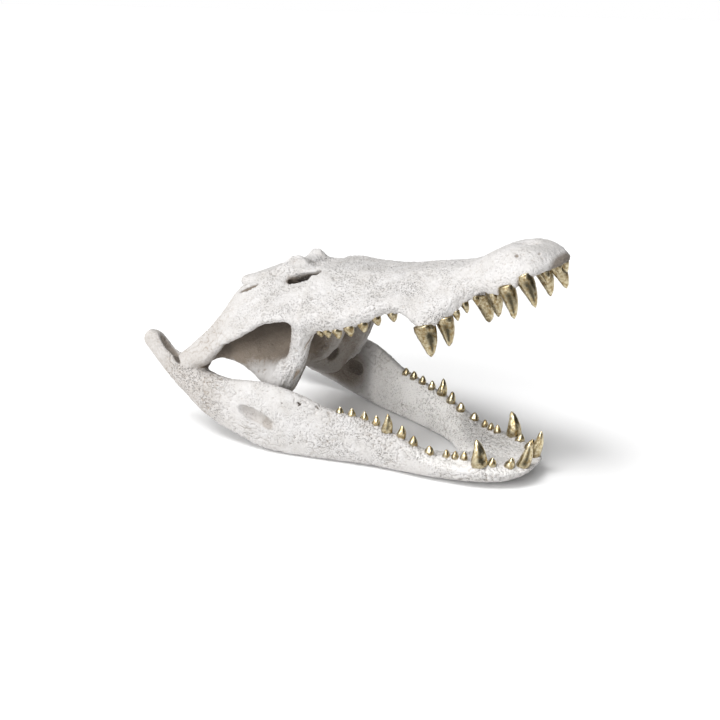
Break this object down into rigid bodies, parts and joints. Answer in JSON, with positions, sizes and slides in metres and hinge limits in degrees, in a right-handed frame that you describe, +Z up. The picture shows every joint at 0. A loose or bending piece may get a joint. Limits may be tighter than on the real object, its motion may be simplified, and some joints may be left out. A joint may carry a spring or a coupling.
{
  "type": "resin crocodile skull with gilded teeth",
  "caption": "Crocodile skull cast in white resin, its long snout raised over the open lower jaw, with gilded pointed teeth along both jaws; stands on its lower jaw as a display piece.",
  "frame": {"origin": "middle of the outline seen from above, at the level of the surface the skull stands on", "axes": "+X towards the snout, +Y to the skull's left, +Z up"},
  "size_m": [0.4698, 0.2272, 0.2585],
  "materials": {
    "bone_resin": "matt off-white with a brown-grey wash in the hollows",
    "tooth_gilding": "worn pale gold, half gloss"
  },
  "bodies": {
    "root": {"braincase": "bone_resin", "cheek_right": "bone_resin", "cheek_left": "bone_resin", "palate": "bone_resin", "snout": "bone_resin", "premaxilla": "bone_resin", "mandible_right": "bone_resin", "mandible_left": "bone_resin"}
  },
  "joints": []
}
